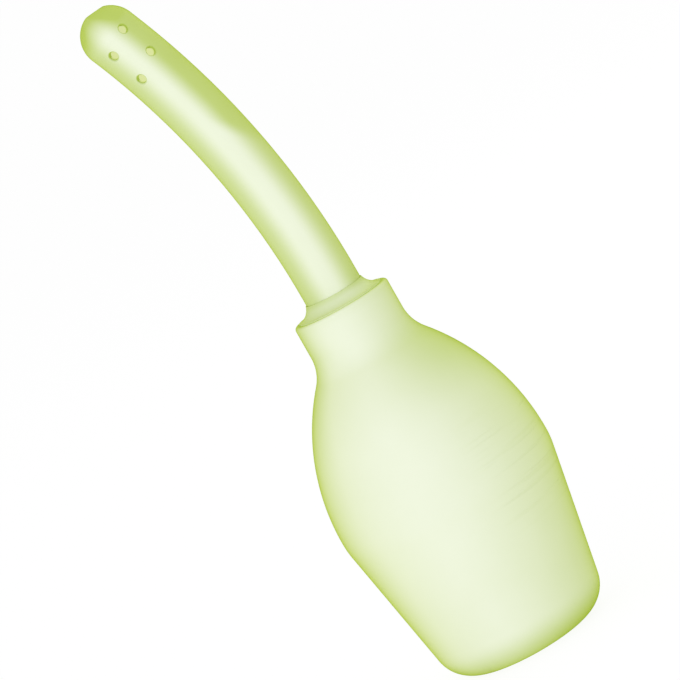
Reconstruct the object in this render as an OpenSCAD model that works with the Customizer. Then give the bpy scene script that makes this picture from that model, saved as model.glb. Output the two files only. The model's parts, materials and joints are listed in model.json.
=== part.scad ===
// Squeeze bulb with a push-in neck stopper and a curved rinsing nozzle, in millimetres.
// The bulb stands on its flat base at z = 0, with its axis along Z.
// The nozzle bends in the XZ plane, towards -X.

/* [Bulb] */
// Height of the rim of the neck above the base
bulb_h = 128.8; // [107:0.1:156]
// Diameter of the belly at its widest place
belly_d = 76.6; // [63:0.1:93]
// Height of the widest place above the base
belly_z = 59.7; // [50:0.1:72]
// Radius of the outline just below the widest place
belly_low_r = 32; // [24:0.5:38]
// Slope of the straight side below the belly, in degrees from upright
side_taper = 10.1; // [5:0.1:13]
// Radius of the rounded edge round the base
base_edge_r = 12; // [6:0.5:15]
// Wall of the belly and the base
belly_wall = 2.2; // [1.5:0.1:3.2]

/* [Neck] */
// Outer diameter of the neck
neck_d = 34.2; // [31:0.1:41.2]
// Height of the straight part of the neck, down from its rim
neck_h = 11.1; // [6:0.1:14]
// Radius of the hollow curve that leads from the neck into the belly
neck_root_r = 14.4; // [10:0.1:17.5]
// Wall of the neck
neck_wall = 3.55; // [2.6:0.05:4.2]
// Radius of the same curve on the inside
bore_root_r = 9; // [5:0.5:14]
// Radius of the rounded outer edge of the rim
rim_edge_r = 1.2; // [0.3:0.1:1.5]
// Chamfer at the mouth of the neck's bore
mouth_chamfer = 0.5; // [0.2:0.1:0.8]

/* [Stopper] */
// Height of the flared foot above the rim
foot_h = 4.4; // [3:0.1:6]
// Upright edge round the foot, where it meets the rim
foot_edge_h = 0.3; // [0.2:0.1:1]
// How far the foot's edge stays inside the outside of the neck
foot_inset = 1.9; // [0.3:0.1:2.2]
// Depth of the hollow in the foot's flare, measured from a straight line
foot_hollow = 1; // [0.3:0.05:1.2]
// Width of the flat ring on top of the foot, round the nozzle
foot_land = 0.3; // [0.2:0.1:1]
// Length of the plug that goes down into the neck
plug_len = 14; // [11:0.5:18]
// Number of sealing bands round the plug
band_count = 2; // [2:1:3]
// Height of one sealing band
band_h = 3; // [2:0.1:3.4]
// Height from the lower edge of one band to that of the next
band_pitch = 4.5; // [4:0.1:5]
// Depth of the grooves above, between and below the bands
groove_depth = 0.6; // [0.3:0.1:0.8]
// Depth of the nozzle's seat below the rim
seat_depth = 12; // [9:0.5:14]

/* [Nozzle] */
// Outer diameter of the nozzle
nozzle_d = 20; // [16.6:0.1:22]
// Wall of the nozzle
nozzle_wall = 2; // [1.4:0.1:2.8]
// Straight length of the nozzle above the foot
straight_above = 2.1; // [1:0.1:10]
// Radius of the bend, measured at the middle of the nozzle
bend_r = 267; // [222:1:400]
// Length of the bent part, measured along its middle
bend_len = 108.1; // [90:0.1:130]
// Chamfer round the nozzle's lower end
spigot_chamfer = 0.8; // [0.4:0.1:1.2]

/* [Nozzle holes] */
// Diameter of each side hole
hole_d = 3; // [2:0.1:4]
// Chamfer round the mouth of each side hole
hole_chamfer = 0.3; // [0.1:0.05:0.5]
// Places of the holes on the outer side of the bend, measured back from the tip
outer_row = [11.3, 22.5]; // [11:0.1:60]
// Places of the holes on the inner side of the bend, measured back from the tip
inner_row = [14.4, 26.1]; // [11:0.1:60]
// Turn of each row away from the middle of the flank, in degrees
row_turn = 27; // [20:1:40]
// How much farther back the holes of the far flank lie, so that no two holes are in line
flank_shift = 5.7; // [0:0.1:6]
// Diameter of the hole in the end of the tip
tip_hole_d = 2.6; // [2:0.1:4]
// Radius of the rounded edge of that hole
tip_hole_edge_r = 1.8; // [0.4:0.1:2.2]
// Turn of that hole from the end of the tip towards the outer side of the bend, in degrees
tip_hole_turn = 18; // [0:1:30]

/* [Fits] */
// Clearance between the sealing bands and the neck's bore, on the radius
plug_gap = 0.05; // [0.02:0.01:0.1]
// Clearance between the nozzle and the stopper's bore, on the radius
nozzle_gap = 0.05; // [0.02:0.01:0.1]

/* [Hidden] */

$fn = 96;
// How far a cutting shape runs past the face that it cuts
past = 1;
// How much a ball is larger than the bar that it ends, so that their surfaces cross
crossing = 0.02;

// Belly, neck and nozzle radii
belly_r = belly_d / 2;
neck_r = neck_d / 2;
bore_r = neck_r - neck_wall;
nozzle_r = nozzle_d / 2;
lumen_r = nozzle_r - nozzle_wall;

// The outline's arc above the belly ends tangent to the neck's root curve, whose centre is
// at the lower end of the straight neck. These two conditions give the arc's radius.
root_drop = bulb_h - neck_h - belly_z;
root_reach = neck_r + neck_root_r - belly_r;
belly_top_r = (root_drop ^ 2 + root_reach ^ 2 - neck_root_r ^ 2) / (2 * (belly_r - neck_r));
top_arc_centre = [belly_r - belly_top_r, belly_z];
low_arc_centre = [belly_r - belly_low_r, belly_z];

// Foot and plug of the stopper
foot_r = neck_r - foot_inset;
seat_bore_r = nozzle_r + nozzle_gap;
foot_top_r = seat_bore_r + foot_land;
band_r = bore_r - plug_gap;
plug_r = band_r - groove_depth;
first_band_z = bulb_h - plug_len + groove_depth + 1.5;

// Nozzle along its middle line
nozzle_low_z = bulb_h - seat_depth;
bend_z = bulb_h + foot_h + straight_above;
bend_turn = bend_len / bend_r * 180 / PI;

// A point at a distance and an angle from a centre
function polar(centre, r, a) = centre + r * [cos(a), sin(a)];

// Centre height of a curve of radius root_r that touches the neck's line at neck_line
// and the belly's upper arc, drawn with radius arc_r
function root_z(arc_r, neck_line, root_r) =
    belly_z + sqrt((arc_r + root_r) ^ 2 - (neck_line + root_r - top_arc_centre.x) ^ 2);

// Centre of the circle through p and q that bows by bow to the left of the line from p to q
function bow_centre(p, q, bow) =
    let (chord = q - p, half = norm(chord) / 2, left = [-chord.y, chord.x] / norm(chord))
    (p + q) / 2 - left * ((half ^ 2 + bow ^ 2) / (2 * bow) - bow);

// Slice of a disc between two angles that are less than 180 degrees apart
module slice(centre, r, from, to) {
    reach = 3 * r;
    middle = (from + to) / 2;
    translate(centre) intersection() {
        circle(r = r);
        polygon([[0, 0], polar([0, 0], reach, from), polar([0, 0], reach, middle), polar([0, 0], reach, to)]);
    }
}

// Right half of the bulb's outline, drawn in by a wall. It runs up from the base over the
// rounded edge, the straight taper, two belly arcs and the neck's root curve to the top.
module bulb_outline(wall, neck_line, root_r, top_z) {
    edge_r = base_edge_r - wall;
    low_r = belly_low_r - wall;
    top_r = belly_top_r - wall;
    taper_top = polar(low_arc_centre, low_r, -side_taper);
    // The edge's centre lies its own radius above the base and inside the tapered side
    edge_z = wall + edge_r;
    edge_x = taper_top.x - (edge_r + (taper_top.y - edge_z) * sin(side_taper)) / cos(side_taper);
    edge_centre = [edge_x, edge_z];
    root_centre = [neck_line + root_r, root_z(top_r, neck_line, root_r)];
    root_turn = atan2(root_centre.y - top_arc_centre.y, root_centre.x - top_arc_centre.x);
    difference() {
        union() {
            polygon([
                [0, wall],
                [edge_x, wall],
                polar(edge_centre, edge_r, -side_taper),
                taper_top,
                [belly_r - wall, belly_z],
                polar(top_arc_centre, top_r, root_turn),
                [neck_line, root_centre.y],
                [neck_line, top_z],
                [0, top_z]
            ]);
            slice(edge_centre, edge_r, -90, -side_taper);
            slice(low_arc_centre, low_r, -side_taper, 0);
            intersection() {
                slice(top_arc_centre, top_r, 0, root_turn);
                translate([0, belly_z]) square([belly_r, top_r]);
            }
        }
        slice(root_centre, root_r, 180, 180 + root_turn);
    }
}

// Soft hollow bulb: one shell, open only at the neck
module bulb() {
    color([0.90, 0.95, 0.78]) rotate_extrude() difference() {
        bulb_outline(0, neck_r, neck_root_r, bulb_h);
        bulb_outline(belly_wall, bore_r, bore_root_r, bulb_h + past);
        // Rounded outer edge of the rim
        translate([neck_r - rim_edge_r, bulb_h - rim_edge_r]) difference() {
            square(rim_edge_r + past);
            circle(r = rim_edge_r);
        }
        // Chamfered mouth of the bore
        polygon([
            [bore_r - past, bulb_h + past],
            [bore_r - past, bulb_h - mouth_chamfer - past],
            [bore_r, bulb_h - mouth_chamfer],
            [bore_r + mouth_chamfer + past, bulb_h + past]
        ]);
    }
}

// Half section of the foot, whose flare is a hollow arc from the nozzle out to the edge
module foot_section() {
    flare_low = [foot_r, bulb_h + foot_edge_h];
    flare_top = [foot_top_r, bulb_h + foot_h];
    flare_centre = bow_centre(flare_low, flare_top, foot_hollow);
    difference() {
        polygon([[0, bulb_h], [foot_r, bulb_h], flare_low, flare_top, [0, bulb_h + foot_h]]);
        translate(flare_centre) circle(r = norm(flare_low - flare_centre));
    }
}

// Half section of the plug: a core, its sealing bands and a tapered lead at the lower end
module plug_section() {
    plug_low_z = bulb_h - plug_len;
    polygon([
        [0, plug_low_z],
        [plug_r - groove_depth, plug_low_z],
        [plug_r, plug_low_z + groove_depth],
        [plug_r, bulb_h],
        [0, bulb_h]
    ]);
    for (i = [0 : band_count - 1])
        translate([0, first_band_z + i * band_pitch]) square([band_r, band_h]);
}

// Stopper: its foot rests on the rim, its plug seals the neck and its bore holds the nozzle
module neck_stopper() {
    color([0.78, 0.86, 0.55]) rotate_extrude() difference() {
        union() {
            foot_section();
            plug_section();
        }
        translate([-past, nozzle_low_z]) square([seat_bore_r + past, seat_depth + foot_h + past]);
        translate([-past, 0]) square([lumen_r + past, bulb_h]);
    }
}

// Straight lower end of the nozzle, with a chamfer to lead it into its seat
module spigot() {
    rotate_extrude() polygon([
        [0, nozzle_low_z],
        [nozzle_r - spigot_chamfer, nozzle_low_z],
        [nozzle_r, nozzle_low_z + spigot_chamfer],
        [nozzle_r, bend_z],
        [0, bend_z]
    ]);
}

// Round bar swept round the centre of the bend
module bent_bar(r) {
    translate([-bend_r, 0, bend_z]) rotate([90, 0, 0]) rotate_extrude(angle = bend_turn)
        translate([bend_r, 0]) circle(r = r);
}

// Turns its children about the centre of the bend, by an angle from the bend's start,
// and sets them on the nozzle's middle line there
module along_bend(turn) {
    translate([-bend_r, 0, bend_z]) rotate([0, -turn, 0]) translate([bend_r, 0, 0]) children();
}

// Half section of the hole in the end of the tip, whose rounded edge runs into the ball
module tip_hole_section() {
    hole_r = tip_hole_d / 2;
    edge_x = hole_r + tip_hole_edge_r;
    edge_z = sqrt((nozzle_r + 2 * crossing - tip_hole_edge_r) ^ 2 - edge_x ^ 2);
    difference() {
        polygon([
            [-past, 0],
            [hole_r, 0],
            [hole_r, edge_z],
            [edge_x, edge_z],
            (nozzle_r + past) / norm([edge_x, edge_z]) * [edge_x, edge_z],
            [-past, nozzle_r + past]
        ]);
        translate([edge_x, edge_z]) circle(r = tip_hole_edge_r);
    }
}

// Ball that closes the end of the nozzle, with the tip's hole in it
module tip_ball() {
    ball_r = nozzle_r + crossing;
    along_bend(bend_turn) rotate([0, tip_hole_turn, 0]) rotate_extrude() difference() {
        intersection() {
            circle(r = ball_r);
            translate([0, -ball_r]) square([ball_r, 2 * ball_r]);
        }
        tip_hole_section();
    }
}

// Hollow inside the nozzle, which ends in a round pocket behind the tip
module lumen() {
    translate([0, 0, nozzle_low_z - past]) cylinder(r = lumen_r, h = bend_z - nozzle_low_z + past);
    bent_bar(lumen_r);
    along_bend(bend_turn) sphere(r = lumen_r + crossing);
}

// Turn along the bend of a place that lies a distance back from the end of the tip
function turn_at(back) = bend_turn - (back - nozzle_r) / bend_r * 180 / PI;

// One round hole from the middle of the nozzle out through its wall, seen from -Y,
// turned from the middle of the flank towards the outer side of the bend.
// The chamfer starts below the lowest places of the hole's edge on the round wall.
module side_hole(back, turn) {
    hole_r = hole_d / 2;
    mouth_z = sqrt(nozzle_r ^ 2 - hole_r ^ 2) - hole_chamfer;
    along_bend(turn_at(back)) rotate([0, 0, turn]) rotate([90, 0, 0]) rotate_extrude() polygon([
        [0, 0],
        [hole_r, 0],
        [hole_r, mouth_z],
        [hole_r + past, mouth_z + past],
        [0, mouth_z + past]
    ]);
}

// Nozzle: straight spigot, bent tube and round tip in one piece, drilled near the tip.
// The two rows of side holes repeat on the far flank, a little farther back.
module nozzle() {
    color([0.84, 0.91, 0.64]) difference() {
        union() {
            spigot();
            bent_bar(nozzle_r);
            tip_ball();
        }
        lumen();
        for (flank = [0, 1]) mirror([0, flank, 0]) {
            for (back = outer_row) side_hole(back + flank * flank_shift, row_turn);
            for (back = inner_row) side_hole(back + flank * flank_shift, -row_turn);
        }
    }
}

bulb();
neck_stopper();
nozzle();
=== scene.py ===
# %% [markdown]
# # A squeeze bulb with a curved rinsing nozzle
#
# The object is a soft, pale green bulb that stands on its flat base. A stopper plugs its neck,
# and a curved, round-tipped nozzle stands in the stopper. This file gives the object its looks.
# The frame comes first: it holds every piece at its real size and place, and it never moves.

# %% Load the frame
import json
import math

import bpy
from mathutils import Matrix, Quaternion, Vector

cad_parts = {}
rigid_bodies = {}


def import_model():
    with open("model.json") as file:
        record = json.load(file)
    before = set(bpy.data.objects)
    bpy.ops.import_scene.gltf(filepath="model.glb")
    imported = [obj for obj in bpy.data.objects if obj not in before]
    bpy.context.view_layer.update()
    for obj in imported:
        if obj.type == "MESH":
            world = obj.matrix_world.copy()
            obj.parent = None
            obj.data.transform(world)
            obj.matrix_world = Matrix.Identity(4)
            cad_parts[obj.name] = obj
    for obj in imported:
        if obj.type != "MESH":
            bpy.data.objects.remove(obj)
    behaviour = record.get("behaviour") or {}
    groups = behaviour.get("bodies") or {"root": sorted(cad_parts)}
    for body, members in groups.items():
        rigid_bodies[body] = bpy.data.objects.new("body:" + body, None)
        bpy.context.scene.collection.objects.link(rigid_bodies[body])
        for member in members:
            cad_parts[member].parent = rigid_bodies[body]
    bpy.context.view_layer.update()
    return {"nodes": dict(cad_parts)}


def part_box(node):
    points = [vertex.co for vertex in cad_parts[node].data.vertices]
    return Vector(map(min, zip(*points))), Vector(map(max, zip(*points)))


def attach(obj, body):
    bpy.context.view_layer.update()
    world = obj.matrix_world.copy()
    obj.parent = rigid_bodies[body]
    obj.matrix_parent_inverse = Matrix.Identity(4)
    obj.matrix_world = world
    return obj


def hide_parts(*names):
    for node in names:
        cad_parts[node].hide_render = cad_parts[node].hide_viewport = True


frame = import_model()

MM = 0.001


def in_mm(lengths):
    """Lengths in metres as rounded millimetres, for a print."""
    return [round(length / MM, 2) for length in lengths]


print("nodes in the frame:", sorted(frame["nodes"]))

# %% [markdown]
# ## The camera
#
# The photograph is taken from a long way off, almost level, with the camera turned on its side
# by about 30 degrees, so the bulb leans to the right and the nozzle points to the upper left.
# A long lens far away would do, and so would a camera tilted by hand. Here the camera is placed
# by its distance, its height above the horizon and its roll, because each of these can be read
# off the photograph alone.

# %% Place the camera
FRAME_PIXELS = 680
MM_PER_PIXEL = 0.3252
SENSOR_WIDTH = 36.0
CAMERA_DISTANCE = 1.4
CAMERA_ELEVATION = math.radians(6.9)
CAMERA_ROLL = math.radians(-29.67)

target = Vector((-6.0, 0.0, 118.2)) * MM
frame_width = FRAME_PIXELS * MM_PER_PIXEL * MM
away = Vector((0.0, -math.cos(CAMERA_ELEVATION), math.sin(CAMERA_ELEVATION)))

camera_data = bpy.data.cameras.new("photo_camera")
camera_data.sensor_width = SENSOR_WIDTH
camera_data.lens = SENSOR_WIDTH * CAMERA_DISTANCE / frame_width
camera = bpy.data.objects.new("photo_camera", camera_data)
bpy.context.scene.collection.objects.link(camera)
camera.location = target + CAMERA_DISTANCE * away
camera.rotation_mode = "QUATERNION"
level_view = (-away).to_track_quat("-Z", "Y")
camera.rotation_quaternion = level_view @ Quaternion((0.0, 0.0, 1.0), CAMERA_ROLL)
bpy.context.scene.camera = camera
print("lens in mm:", round(camera_data.lens, 1))

# %% [markdown]
# ## Writing shader maths
#
# The stage and the finishes need some maths: which ray is looking, how high up a place lies, how
# near it is to an edge. Math nodes could be placed and wired one by one, but dozens of them soon
# become hard to read. Here a small class wraps the output of a node, and ordinary arithmetic with
# it adds the Math nodes, so the maths in this file reads like maths.

# %% Turn arithmetic into Math nodes


class Wire:
    """The output of a node. Arithmetic with it adds Math nodes to the same tree."""

    def __init__(self, bench, socket):
        self.bench = bench
        self.socket = socket

    def math(self, operation, *others):
        return self.bench.node("ShaderNodeMath", {"operation": operation}, *others)

    def __add__(self, other):
        return self.math("ADD", self, other)

    def __radd__(self, other):
        return self.math("ADD", other, self)

    def __sub__(self, other):
        return self.math("SUBTRACT", self, other)

    def __rsub__(self, other):
        return self.math("SUBTRACT", other, self)

    def __mul__(self, other):
        return self.math("MULTIPLY", self, other)

    def __rmul__(self, other):
        return self.math("MULTIPLY", other, self)

    def __truediv__(self, other):
        return self.math("DIVIDE", self, other)

    def __pow__(self, other):
        return self.math("POWER", self, other)

    def at_least(self, lowest):
        return self.math("MAXIMUM", self, lowest)

    def at_most(self, highest):
        return self.math("MINIMUM", self, highest)

    def rise(self, start, end):
        """0 up to start, 1 from end on and smooth between; it falls where end is the smaller."""
        settings = {"interpolation_type": "SMOOTHSTEP"}
        return self.bench.node("ShaderNodeMapRange", settings, self, start, end, 0.0, 1.0)

    def band(self, start, full, last_full, end):
        """1 from full to last_full, 0 before start and after end, and smooth between."""
        return self.rise(start, full) * self.rise(end, last_full)


# %% Build node trees
MIX_FIRST = 6
MIX_SECOND = 7
MIX_RESULT = 2


class Bench:
    """A node tree to build a finish on."""

    def __init__(self, tree):
        self.tree = tree
        tree.nodes.clear()

    def node(self, kind, settings=None, *inputs, output=0, **named):
        """Adds a node, first its settings, then the values or links of its sockets, in order or by
        name with _ for a space, and returns one of its outputs if it has any."""
        made = self.tree.nodes.new(kind)
        for key, value in (settings or {}).items():
            setattr(made, key, value)
        for socket, value in zip(made.inputs, inputs):
            self.feed(socket, value)
        for key, value in named.items():
            self.feed(made.inputs[key.replace("_", " ")], value)
        return Wire(self, made.outputs[output]) if made.outputs else None

    def feed(self, socket, value):
        """Links a wire to a socket, or sets the socket to a plain value."""
        if isinstance(value, Wire):
            self.tree.links.new(value.socket, socket)
        else:
            socket.default_value = value

    def mix_colour(self, factor, first, second):
        """A blend of two colours, by a factor from 0 to 1."""
        blend = self.node("ShaderNodeMix", {"data_type": "RGBA"}, factor, output=MIX_RESULT)
        sockets = blend.socket.node.inputs
        self.feed(sockets[MIX_FIRST], first)
        self.feed(sockets[MIX_SECOND], second)
        return blend


# %% Start a material


def new_bench(name):
    """A new material and the bench on which its nodes are built."""
    material = bpy.data.materials.new(name)
    material.use_nodes = True
    return material, Bench(material.node_tree)


# %% [markdown]
# ## The stage
#
# The photograph shows the object alone on white. A white photo table does that: a pale floor
# that the object stands on and that still takes its soft shadow, and white air behind it. Strong
# lamps would turn the floor white too, but they would wash out the pale green. So the lamps stay
# at a plain level, and the Light Path node shows the air and the floor as white to the camera, and
# to gloss and glass. The paper is partly lit and partly glows by itself. Its lit part is a little
# darker than white, so the glow that the camera sees is a trifle stronger, and the two together
# make white. For all other rays the table is lit from below as well: much of what its top sends up
# to the object is its own glow, which keeps the rounded base from going dark in the object's own
# shadow.

# %% Tell which rays see white


def rays_that_see_white(bench):
    """1 for the rays that look at the stage: from the camera, or by way of gloss or glass."""
    camera_ray = bench.node("ShaderNodeLightPath", output="Is Camera Ray")
    glossy_ray = bench.node("ShaderNodeLightPath", output="Is Glossy Ray")
    clear_ray = bench.node("ShaderNodeLightPath", output="Is Transmission Ray")
    return camera_ray.at_least(glossy_ray).at_least(clear_ray)


# %% Light the air
WHITE = (1.0, 1.0, 1.0, 1.0)
AIR_LIGHT = 0.825
AIR_SEEN = 1.0

world = bpy.data.worlds.new("white_air")
bpy.context.scene.world = world
world.use_nodes = True
air = Bench(world.node_tree)
air_strength = AIR_LIGHT + (AIR_SEEN - AIR_LIGHT) * rays_that_see_white(air)
background = air.node("ShaderNodeBackground", None, WHITE, air_strength)
air.node("ShaderNodeOutputWorld", None, background)
print("the air lights the object at", AIR_LIGHT, "and is seen at", AIR_SEEN)

# %% Lay the floor
FLOOR_SIZE = 120.0
FLOOR_WHITE = (0.90, 0.90, 0.90, 1.0)
GLOW_SHARE = 0.70
GLOW_SHARE_SEEN = 0.88
GLOW_STRENGTH = 1.0
GLOW_STRENGTH_SEEN = 1.025

bpy.ops.object.select_all(action="DESELECT")
bpy.ops.mesh.primitive_plane_add(size=FLOOR_SIZE, location=(0.0, 0.0, 0.0))
floor = bpy.context.object
floor.name = "floor"
floor.data.name = "floor"

paper, bench = new_bench("white_paper")
sees_white = rays_that_see_white(bench)
glow_share = GLOW_SHARE + (GLOW_SHARE_SEEN - GLOW_SHARE) * sees_white
glow_strength = GLOW_STRENGTH + (GLOW_STRENGTH_SEEN - GLOW_STRENGTH) * sees_white
lit_paper = bench.node("ShaderNodeBsdfDiffuse", None, FLOOR_WHITE)
glowing_paper = bench.node("ShaderNodeEmission", None, WHITE, glow_strength)
paper_mix = bench.node("ShaderNodeMixShader", None, glow_share, lit_paper, glowing_paper)
bench.node("ShaderNodeOutputMaterial", None, paper_mix)
floor.data.materials.append(paper)
print("the floor's side in m:", FLOOR_SIZE)

# %% Hang the lamps


def soft_lamp(name, place, size, power):
    """A square soft lamp that shines on the middle of the object."""
    lamp = bpy.data.lights.new(name, "AREA")
    lamp.size = size
    lamp.energy = power
    lamp_object = bpy.data.objects.new(name, lamp)
    lamp_object.location = place
    lamp_object.rotation_mode = "QUATERNION"
    lamp_object.rotation_quaternion = (target - Vector(place)).to_track_quat("-Z", "Y")
    bpy.context.scene.collection.objects.link(lamp_object)
    print(name, "hangs at", place, "and gives", power, "W")


soft_lamp("key_lamp", place=(-0.5, -1.3, 0.6), size=0.8, power=3.8)
soft_lamp("fill_lamp", place=(0.9, 0.9, 1.0), size=1.2, power=3.4)

# %% [markdown]
# ## The bulb
#
# The real bulb is one soft hollow shell, blown or dipped over a form, so it is round about its
# axis. It could be a sphere pulled into shape, or a stack of rings scaled by hand. A turned
# outline is truer: the outline of the real bulb is a few arcs and one straight side that run
# into each other without a kink, so it is drawn as those arcs and spun about the axis. The inner
# wall is drawn the same way, because the shell can be seen into when the stopper is out.

# %% Take the bulb's size from the frame
BELLY_Z = 59.7 * MM
BELLY_LOW_R = 32.0 * MM
SIDE_TAPER = 10.1
BASE_EDGE_R = 12.0 * MM
BELLY_WALL = 2.2 * MM
NECK_R = 17.1 * MM
NECK_H = 11.1 * MM
NECK_ROOT_R = 14.4 * MM
NECK_WALL = 3.55 * MM
BORE_ROOT_R = 9.0 * MM
RIM_EDGE_R = 1.2 * MM
MOUTH_CHAMFER = 0.5 * MM

bulb_low, bulb_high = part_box("bulb")
rim_z = bulb_high.z
belly_r = bulb_high.x
print("rim height and belly radius in mm:", in_mm((rim_z, belly_r)))

# %% Draw the arcs and the straight stretches of an outline
ARC_STEP = 0.9 * MM
ARC_STEP_TURN = 7.5
STRAIGHT_STEP = 3 * ARC_STEP


def on_circle(centre, radius, degrees):
    """A point of the outline at an angle round a centre."""
    turn = math.radians(degrees)
    return Vector((centre[0] + radius * math.cos(turn), centre[1] + radius * math.sin(turn)))


def arc(centre, radius, start, end):
    """Points along an arc, close enough for it to look round, without its first point."""
    turn = end - start
    length = radius * abs(math.radians(turn))
    count = math.ceil(max(length / ARC_STEP, abs(turn) / ARC_STEP_TURN))
    return [on_circle(centre, radius, start + turn * i / count) for i in range(1, count + 1)]


def straight(start, end):
    """Points along a straight stretch, without its first point."""
    count = math.ceil((end - start).length / STRAIGHT_STEP)
    return [start.lerp(end, i / count) for i in range(1, count + 1)]


# %% Draw one wall of the bulb, from the base up to the neck
root_drop = rim_z - NECK_H - BELLY_Z
root_reach = NECK_R + NECK_ROOT_R - belly_r
belly_top_r = (root_drop**2 + root_reach**2 - NECK_ROOT_R**2) / (2 * (belly_r - NECK_R))
top_centre = Vector((belly_r - belly_top_r, BELLY_Z))
low_centre = Vector((belly_r - BELLY_LOW_R, BELLY_Z))


def bulb_wall(wall, neck_line, root_r):
    """The outline of the bulb drawn in by a wall: base, rounded edge, taper, belly, root."""
    edge_r = BASE_EDGE_R - wall
    low_r = BELLY_LOW_R - wall
    top_r = belly_top_r - wall
    slope = math.radians(SIDE_TAPER)
    taper_top = on_circle(low_centre, low_r, -SIDE_TAPER)
    edge_z = wall + edge_r
    edge_x = taper_top.x - (edge_r + (taper_top.y - edge_z) * math.sin(slope)) / math.cos(slope)
    edge_centre = (edge_x, edge_z)
    root_rise = math.sqrt((top_r + root_r) ** 2 - (neck_line + root_r - top_centre.x) ** 2)
    root_centre = (neck_line + root_r, BELLY_Z + root_rise)
    root_turn = math.degrees(math.atan2(root_rise, root_centre[0] - top_centre.x))
    points = [Vector((0.0, wall))]
    points += straight(points[-1], Vector((edge_x, wall)))
    points += arc(edge_centre, edge_r, -90.0, -SIDE_TAPER)
    points += straight(points[-1], taper_top)
    points += arc(low_centre, low_r, -SIDE_TAPER, 0.0)
    points += arc(top_centre, top_r, 0.0, root_turn)
    points += arc(root_centre, root_r, 180.0 + root_turn, 180.0)
    return points


bore_r = NECK_R - NECK_WALL
outer_wall = bulb_wall(0.0, NECK_R, NECK_ROOT_R)
inner_wall = bulb_wall(BELLY_WALL, bore_r, BORE_ROOT_R)
print("outline points outside and inside:", len(outer_wall), len(inner_wall))

# %% Join the two walls over the rim
rim_centre = (NECK_R - RIM_EDGE_R, rim_z - RIM_EDGE_R)
mouth_top = Vector((bore_r + MOUTH_CHAMFER, rim_z))
mouth_low = Vector((bore_r, rim_z - MOUTH_CHAMFER))

neck_side = straight(outer_wall[-1], on_circle(rim_centre, RIM_EDGE_R, 0.0))
rim = arc(rim_centre, RIM_EDGE_R, 0.0, 90.0) + [mouth_top, mouth_low]
bore = straight(mouth_low, inner_wall[-1])
inner_wall_downwards = inner_wall[-2::-1]
bulb_outline = outer_wall + neck_side + rim + bore + inner_wall_downwards
print("points round the whole section:", len(bulb_outline))

# %% [markdown]
# ## Spinning the bulb
#
# The bulb is made with the same operators that a modeller calls by hand. They act on whatever is
# selected, so it starts with nothing selected. One vertex is extruded along the outline, and the
# Spin tool turns that line round the axis, as a lathe does. The Screw modifier would too, but
# Spin leaves a plain mesh at once. The seam is then merged and the faces are turned outwards.

# %% Spin the section into the bulb
SPIN_STEPS = 128
MERGE_WITHIN = 0.002 * MM
SMOOTH_BELOW = math.radians(35.0)


def lathe(name, outline):
    """Draws an outline in the XZ plane by extruding a vertex, and spins it about the axis."""
    bpy.ops.object.select_all(action="DESELECT")
    start = Vector((outline[0].x, 0.0, outline[0].y))
    bpy.ops.mesh.primitive_plane_add(size=MM, location=start)
    piece = bpy.context.object
    piece.name = name
    piece.data.name = name
    bpy.ops.object.transform_apply(location=True, rotation=True, scale=True)
    bpy.ops.object.mode_set(mode="EDIT")
    bpy.ops.mesh.merge(type="CENTER")
    for before, after in zip(outline, outline[1:]):
        step = (after.x - before.x, 0.0, after.y - before.y)
        bpy.ops.mesh.extrude_vertices_move(TRANSFORM_OT_translate={"value": step})
    bpy.ops.mesh.select_all(action="SELECT")
    bpy.ops.mesh.spin(
        steps=SPIN_STEPS,
        angle=math.tau,
        center=(0.0, 0.0, 0.0),
        axis=(0.0, 0.0, 1.0),
        use_auto_merge=True,
    )
    bpy.ops.mesh.select_all(action="SELECT")
    bpy.ops.mesh.remove_doubles(threshold=MERGE_WITHIN)
    bpy.ops.mesh.normals_make_consistent(inside=False)
    bpy.ops.object.mode_set(mode="OBJECT")
    bpy.ops.object.shade_smooth_by_angle(angle=SMOOTH_BELOW)
    return piece


soft_bulb = lathe("soft_bulb", bulb_outline)
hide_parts("bulb")
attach(soft_bulb, "bulb")
print("faces of the bulb:", len(soft_bulb.data.polygons))

# %% [markdown]
# ## The finishes
#
# The bulb, the stopper and the nozzle are moulded from the same soft plastic, milky with a little
# green in it. Where it is looked at square on, little colour lies in the line of sight and it is
# nearly white. Towards the edges the line of sight runs along inside the wall, so the green adds
# up. Clear glass with a coloured inside would show this, but also everything behind the wall. So
# the milky body is a plain surface, and the clear skin above it is a tinted coat, which takes
# more colour the more slantwise it is looked through. A weak green sheen widens that edge, as
# the haze in the real skin does. The broader greens, most of them painted shade and painted edge
# shade, are laid into the body by their place on the piece, so they turn with it. Each of them is
# what is left of white after some depth of one pigment, so the pale and the deep ones are of the
# same kind.

# %% Mix the green
PIGMENT = (0.34, 0.24, 1.0)
BODY_WHITE = (0.940, 0.968, 0.985)
CLEAR = (1.0, 1.0, 1.0)
DEEPEST = 1.6


def green(depth, white=CLEAR):
    """The colour that is left of a white after a depth of the pigment."""
    return tuple(w * math.exp(-depth * share) for w, share in zip(white, PIGMENT)) + (1.0,)


PALE_BODY = green(0.0, BODY_WHITE)
DEEP_BODY = green(DEEPEST, BODY_WHITE)
print("palest and deepest body:", [round(c, 2) for c in PALE_BODY[:3] + DEEP_BODY[:3]])

# %% Read the place on a piece
NEAR_AXIS = 1.0 * MM


def split(bench, vector):
    """The x, y and z of a vector."""
    return [bench.node("ShaderNodeSeparateXYZ", None, vector, output=side) for side in "XYZ"]


def object_place(bench):
    """The place on the piece, and its x, y and z, in metres."""
    place = bench.node("ShaderNodeTexCoord", output="Object")
    return place, split(bench, place)


def across_axis(x, y):
    """How far to the right of the upright axis a place lies on its circle, from -1 to 1."""
    from_axis = (x * x + y * y) ** 0.5
    return x / from_axis.at_least(NEAR_AXIS)


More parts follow.
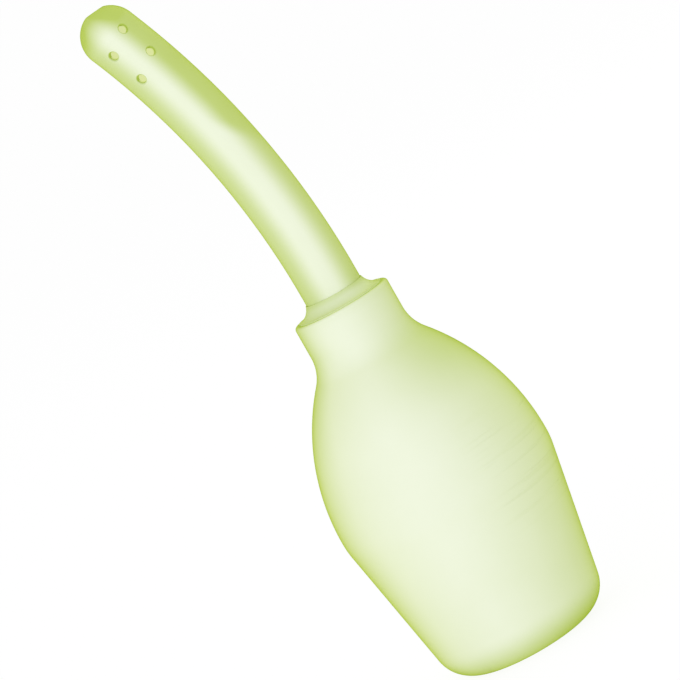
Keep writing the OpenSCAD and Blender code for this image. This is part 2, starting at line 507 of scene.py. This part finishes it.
def speckle(bench, place, scale):
    """Noise with a middle of 0, whose grains are about 1/scale metres wide."""
    return bench.node("ShaderNodeTexNoise", None, Vector=place, Scale=scale, Detail=2.0) - 0.5


# %% Make the plastic
SHEEN_GREEN = (0.50, 0.60, 0.0, 1.0)
INSIDE_BODY = (0.30, 0.34, 0.24, 1.0)
INSIDE_GLOW = (0.60, 0.59, 0.42, 1.0)
NO_GLOW = (0.0, 0.0, 0.0, 1.0)
CLOUD_SCALE = 26.0
CLOUD_GREEN = 0.16
MOTTLE_SCALE = 120.0
MOTTLE_GREEN = 0.05
MOTTLE_ROUGHNESS = 0.10
GRAIN_SCALE = 1400.0
GRAIN_HEIGHT = 0.012 * MM


def milky_plastic(bench, place, green_and_shade, roughness, skin_depth, haze, relief=0.0, inside=None):
    """A milky body as green as its factor of green and painted shade says, under a clear skin with
    a fine grain. Where inside is 1, the body is dimmer and has a painted glow that stands for the
    light that soaks through the wall."""
    clouds = speckle(bench, place, CLOUD_SCALE)
    mottle = speckle(bench, place, MOTTLE_SCALE)
    grain = speckle(bench, place, GRAIN_SCALE)
    mottled_green = green_and_shade + CLOUD_GREEN * clouds + MOTTLE_GREEN * mottle
    # The factor's painted shade goes into the body's colour here, together with the random clouds.
    body = bench.mix_colour(mottled_green.at_least(0.0).at_most(1.0), PALE_BODY, DEEP_BODY)
    soaked_light, soaked_strength = NO_GLOW, 0.0
    if inside is not None:
        body = bench.mix_colour(inside, body, INSIDE_BODY)
        soaked_light, soaked_strength = bench.mix_colour(inside, NO_GLOW, INSIDE_GLOW), 1.0
    height = relief + GRAIN_HEIGHT * grain
    skin = bench.node("ShaderNodeBump", None, Strength=1.0, Distance=1.0, Height=height)
    surface = bench.node(
        "ShaderNodeBsdfPrincipled",
        None,
        Base_Color=body,
        Roughness=roughness + MOTTLE_ROUGHNESS * mottle,
        IOR=1.45,
        Specular_IOR_Level=0.2,
        Coat_Weight=1.0,
        Coat_Roughness=0.5,
        Coat_IOR=1.005,
        Coat_Tint=green(skin_depth),
        Sheen_Weight=0.4,
        Sheen_Roughness=haze,
        Sheen_Tint=SHEEN_GREEN,
        Emission_Color=soaked_light,
        Emission_Strength=soaked_strength,
        Normal=skin,
    )
    bench.node("ShaderNodeOutputMaterial", None, surface)


# %% Put a finish on a piece


def finish(piece, material):
    """Gives a piece one material all over."""
    if not piece.material_slots:
        piece.data.materials.append(material)
    for material_slot in piece.material_slots:
        material_slot.material = material
    print(piece.name, "is finished in", material.name)


# %% [markdown]
# ## The bulb's skin
#
# The real bulb is palest in the middle and on the side where the light comes in. Its right side,
# away from the light, and its shoulder under the neck are made greener with painted shade, and so
# are its rim under the stopper's foot and its rounded base. Its left edge and the left side of the
# neck get painted edge shade, which adds to the coat's own green at the edge, and low down it is a
# little greener. Faint rings of the mould's turning marks show on one side of the belly. A painted
# image could hold all this, but it would be coarse from close by and need the mesh unrolled. Here
# each green place is a mask, a number from 0 to 1 that is worked out from the place on the bulb,
# times its share of green. Left and right are as the camera sees them: across runs from -1 on the
# left edge to 1 on the right edge.

# %% Find the green places of the bulb
SHOULDER_SHADE_BAND = (82.0 * MM, 104.0 * MM, 106.0 * MM, 120.0 * MM)
RIM_SHADE_RING = (rim_z - 4.0 * MM, rim_z - 0.5 * MM)
BASE_SHADE_RING = (13.0 * MM, 1.0 * MM)
LOW_PART = (60.0 * MM, 20.0 * MM)
NECK_PART = (110.0 * MM, 119.0 * MM)

soft_green, bench = new_bench("soft_green_vinyl")
place, (x, y, z) = object_place(bench)
across = across_axis(x, y)
# Painted shade on the right side, away from the light, and painted edge shade at the left edge of
# the belly and of the neck.
painted_right_shade = across.rise(-0.35, 1.0)
painted_left_edge_shade = across.rise(-0.74, -1.0)
painted_neck_edge_shade = across.rise(-0.5, -0.95) * z.rise(*NECK_PART)
# Painted shade on the shoulder under the neck.
painted_shoulder_shade = 0.10 + 0.20 * painted_right_shade + 0.08 * painted_left_edge_shade
# The bulb's green and painted shade: the sides, the shoulder, the rim under the stopper's foot and
# the rounded base are painted shade, and low down it is a little greener.
bulb_green_and_shade = (
    0.01
    + 0.35 * painted_right_shade
    + 0.17 * painted_left_edge_shade
    + painted_shoulder_shade * z.band(*SHOULDER_SHADE_BAND)
    + 0.06 * z.rise(*RIM_SHADE_RING)
    + 0.58 * z.rise(*BASE_SHADE_RING)
    + 0.04 * z.rise(*LOW_PART)
    + 0.18 * painted_neck_edge_shade
)
print("the shoulder's green lies between these heights in mm:", in_mm(SHOULDER_SHADE_BAND[::3]))

# %% Turn the faint rings
MARKS_BAND = (34.0 * MM, 50.0 * MM, 68.0 * MM, 88.0 * MM)
MARKS_SCALE = (25.0, 25.0, 900.0)
MARKS_GREEN = 0.05
MARKS_DEPTH = 0.08 * MM

marks_place = bench.node("ShaderNodeMapping", None, Vector=place, Scale=MARKS_SCALE)
marks_noise = bench.node("ShaderNodeTexNoise", None, Vector=marks_place, Scale=1.0, Detail=1.0)
marks_zone = across.rise(0.2, 0.5) * z.band(*MARKS_BAND)
turning_marks = marks_noise.rise(0.55, 0.70) * marks_zone
print("depth of the turning marks in mm:", round(MARKS_DEPTH / MM, 2))

# %% Finish the bulb
milky_plastic(
    bench,
    place,
    green_and_shade=bulb_green_and_shade + MARKS_GREEN * turning_marks,
    roughness=0.5,
    skin_depth=0.28,
    haze=0.6,
    relief=-MARKS_DEPTH * turning_marks,
)
finish(soft_bulb, soft_green)

# %% [markdown]
# ## The stopper's skin
#
# The stopper is one thick solid piece, and it is greener all over than the bulb. Its foot gets
# painted shade right under the nozzle, where the two pieces meet, and towards its right end, away
# from the light, and painted edge shade towards its left end.
# The frame's own mesh already has the real shape, so it only gets a better material.

# %% Finish the stopper
FOOT_HEIGHT = 4.4 * MM
FOOT_TOP = rim_z + FOOT_HEIGHT

stopper_green, bench = new_bench("stopper_green")
place, (x, y, z) = object_place(bench)
across = across_axis(x, y)
# Painted shade where the foot meets the nozzle and on its right side, away from the light, and
# painted edge shade towards its left end.
painted_joint_shade = z.rise(FOOT_TOP - FOOT_HEIGHT / 2, FOOT_TOP)
painted_foot_right_shade = across.rise(0.2, 1.0)
painted_foot_edge_shade = across.rise(-0.3, -1.0)
milky_plastic(
    bench,
    place,
    green_and_shade=0.44 + 0.24 * painted_joint_shade + 0.20 * painted_foot_right_shade + 0.12 * painted_foot_edge_shade,
    roughness=0.45,
    skin_depth=0.16,
    haze=0.5,
)
finish(frame["nodes"]["neck_stopper"], stopper_green)

# %% [markdown]
# ## The nozzle's skin
#
# The nozzle is a tube bent in one plane. Painted shade gathers along the outer side of the bend,
# which faces away from the light, most of all along the upper half, and painted edge shade gathers
# along the inner side of the bend and in the round tip. The painted shade of the upper half ends
# below in quite a sharp border that slants across. All of it follows the bend, and bands that are
# straight in space would cut through it. The place is therefore measured from the middle of the
# bend: how far out it lies, how far along, and how deep under the skin.

# %% Measure along and across the nozzle
NOZZLE_R = 10.0 * MM
NOZZLE_WALL = 2.0 * MM
BEND_R = 267.0 * MM
BEND_LOW = 135.3 * MM
BEND_LEN = 108.1 * MM

nozzle_green, bench = new_bench("nozzle_green")
place, (x, y, z) = object_place(bench)
out = x + BEND_R
up = (z - BEND_LOW).at_least(0.0)
reach = (out * out + up * up) ** 0.5
off_line = reach - BEND_R
sideways = off_line / NOZZLE_R
along = out.math("ARCTAN2", up, out) * BEND_R
past_bend = (along - BEND_LEN).at_least(0.0)
from_line = (off_line * off_line + y * y + past_bend * past_bend) ** 0.5
depth = NOZZLE_R - from_line
print("the bend turns by", round(math.degrees(BEND_LEN / BEND_R), 1), "degrees")

# %% Find the green places of the nozzle
BORDER = (62.0 * MM, 71.0 * MM)
BORDER_SLANT = 15.0 * MM
TIP_DEPTH = 8.5 * MM
TIP_FADE = 1.5

# Painted edge shade on the inner side of the bend and in the tip, and painted shade on the outer
# side, deepest in the upper half.
painted_inner_edge_shade = sideways.rise(-0.15, -0.8)
painted_outer_shade_low = sideways.rise(0.1, 0.85)
painted_outer_shade_high = sideways.rise(-0.05, 0.6)
upper_half = (along + BORDER_SLANT * sideways).rise(*BORDER)
tip = ((past_bend / TIP_DEPTH) ** TIP_FADE).at_most(1.0)
painted_outer_shade = 0.70 * painted_outer_shade_low * (1.0 - upper_half) + 0.84 * painted_outer_shade_high * upper_half
# The nozzle's green is painted shade on top of a faint even green.
nozzle_green_and_shade = 0.05 + 0.58 * painted_inner_edge_shade + painted_outer_shade + 0.85 * tip
print("the deep green starts along the bend at mm:", in_mm(BORDER))

# %% [markdown]
# ## The nozzle's holes
#
# Light that soaks through the wall of the real nozzle keeps its inside bright, so the holes look
# filled with pale green and not with black. Light that scatters under the surface would show this,
# but it takes long to render. A weak painted glow of the inside stands for it. The holes' cut
# edges get a little painted shade, and the walls on the tip's side, which face away from the
# light, get darker painted shade.

# %% Find the inside and the walls of the holes
INSIDE_DEPTH = (0.8 * MM, NOZZLE_WALL - 0.3 * MM)
CUT_DEPTH = (0.05 * MM, 0.15 * MM)
CLEAR_OF_FOOT = (FOOT_TOP, FOOT_TOP + 4.0 * MM)
AWAY_FROM_TIP = (0.5, -0.86)

above_foot = z.rise(*CLEAR_OF_FOOT)
inside_nozzle = depth.rise(*INSIDE_DEPTH) * above_foot
cut_edge = depth.rise(*CUT_DEPTH) * above_foot
slant = bench.node("ShaderNodeTexCoord", output="Normal")
slant_x, _, slant_z = split(bench, slant)
faces_away = AWAY_FROM_TIP[0] * slant_x + AWAY_FROM_TIP[1] * slant_z
# Painted shade on the hole walls on the tip's side, which face away from the light.
painted_tip_wall_shade = faces_away.rise(0.1, 0.6) * cut_edge
print("the inside starts at these depths in mm:", in_mm(INSIDE_DEPTH))

# %% Finish the nozzle
milky_plastic(
    bench,
    place,
    # Painted shade on the holes' cut edges and darker painted shade on their tip-side walls;
    # inside, the body is dimmer and has a painted glow.
    green_and_shade=nozzle_green_and_shade + 0.15 * cut_edge + 0.9 * painted_tip_wall_shade,
    roughness=0.38,
    skin_depth=0.27,
    haze=0.7,
    inside=inside_nozzle * (1.0 - 0.8 * painted_tip_wall_shade),
)
finish(frame["nodes"]["nozzle"], nozzle_green)

# %% [markdown]
# ## The look of the picture
#
# The colours are shown as they are, without a film curve, so the greens are those that were mixed
# above.

# %% Set the view
bpy.context.scene.view_settings.view_transform = "Standard"
